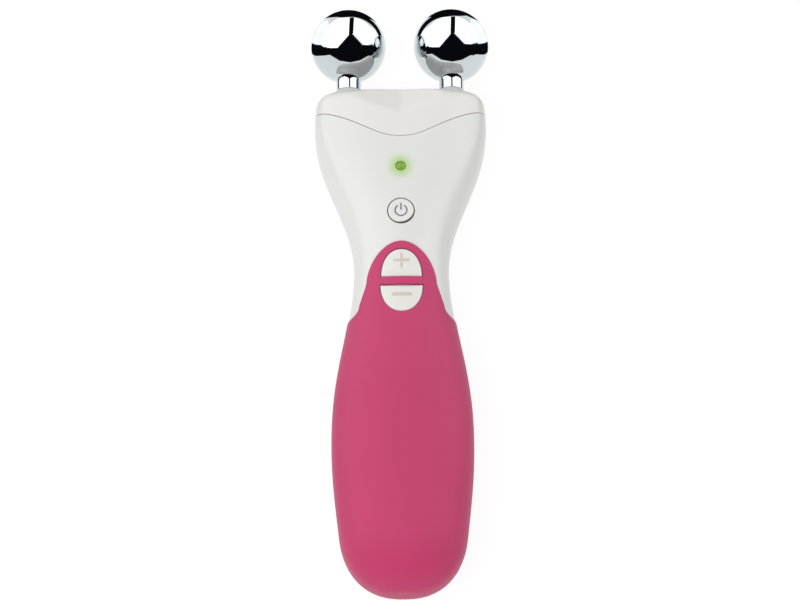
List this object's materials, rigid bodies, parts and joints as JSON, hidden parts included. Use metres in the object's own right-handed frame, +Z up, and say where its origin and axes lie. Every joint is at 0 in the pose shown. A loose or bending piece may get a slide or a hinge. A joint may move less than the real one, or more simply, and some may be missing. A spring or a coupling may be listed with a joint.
{
  "type": "facial toning device",
  "caption": "Hand-held facial toning device with two ball electrodes, power button, plus and minus keys, soft grip and a hinged battery door.",
  "frame": {"origin": "on the table, below the middle of the length, with the device lying on its back", "axes": "+Z up, out of the front with the buttons; +Y along the handle towards the balls; +X across"},
  "size_m": [0.0518, 0.1797, 0.0293],
  "materials": {
    "shell_white": "glossy moulded, faint moulding texture",
    "cap_white": "glossy moulded",
    "grip_pink": "soft-touch, fine grain",
    "chrome": "mirror plated",
    "key_white": "glossy moulded",
    "seal_black": "moulded rubber",
    "tag_brass": "tinned brass",
    "steel": "plated steel",
    "board_green": "solder mask",
    "winding_copper": "enamelled copper",
    "capacitor_blue": "sleeved",
    "plastic_black": "moulded",
    "stem_grey": "moulded",
    "light_green": "translucent lens",
    "cell_jacket": "plain jacket",
    "lead_white": "insulated wire",
    "lead_red": "insulated wire",
    "lead_black": "insulated wire",
    "foam_grey": "closed foam"
  },
  "bodies": {
    "casing": {"front_shell": "shell_white", "rear_shell": "shell_white", "head_cap": "cap_white", "front_grip": "grip_pink", "rear_grip": "grip_pink", "left_electrode": "chrome", "right_electrode": "chrome", "electrode_seals": "seal_black", "electrode_tags": "tag_brass", "electrode_washers": "steel", "electrode_screws": "steel", "left_lead": "lead_white", "right_lead": "lead_white", "main_board": "board_green", "microcontroller": "plastic_black", "transformer_core": "steel", "transformer_winding": "winding_copper", "capacitors": "capacitor_blue", "resistors": "plastic_black", "output_transistors": "plastic_black", "status_light": "light_green", "light_legs": "steel", "power_switch": "plastic_black", "plus_switch": "plastic_black", "minus_switch": "plastic_black", "battery_tray": "plastic_black", "left_cell": "cell_jacket", "right_cell": "cell_jacket", "bridge_contact": "steel", "positive_contact": "steel", "negative_contact": "steel", "red_lead": "lead_red", "black_lead": "lead_black", "casing_screws": "steel", "board_screws": "steel"},
    "power_button": {"power_button": "key_white", "power_stem": "stem_grey"},
    "plus_key": {"plus_key": "key_white", "plus_stem": "stem_grey"},
    "minus_key": {"minus_key": "key_white", "minus_stem": "stem_grey"},
    "battery_door": {"battery_door": "grip_pink", "door_pad": "foam_grey"}
  },
  "joints": [
    {"name": "power_press", "type": "slide", "parent": "casing", "child": "power_button", "axis": [0, -0.1045, -0.9945], "range_m": [0, 0.0004], "stiffness_N_per_m": 2500},
    {"name": "plus_press", "type": "slide", "parent": "casing", "child": "plus_key", "axis": [0, -0.1045, -0.9945], "range_m": [0, 0.0004], "stiffness_N_per_m": 2500},
    {"name": "minus_press", "type": "slide", "parent": "casing", "child": "minus_key", "axis": [0, -0.1045, -0.9945], "range_m": [0, 0.0004], "stiffness_N_per_m": 2500},
    {"name": "door_swing", "type": "hinge", "parent": "casing", "child": "battery_door", "pos_m": [0, -0.06772, 0.004], "axis": [-1, 0, 0], "range_deg": [0, 60]}
  ]
}
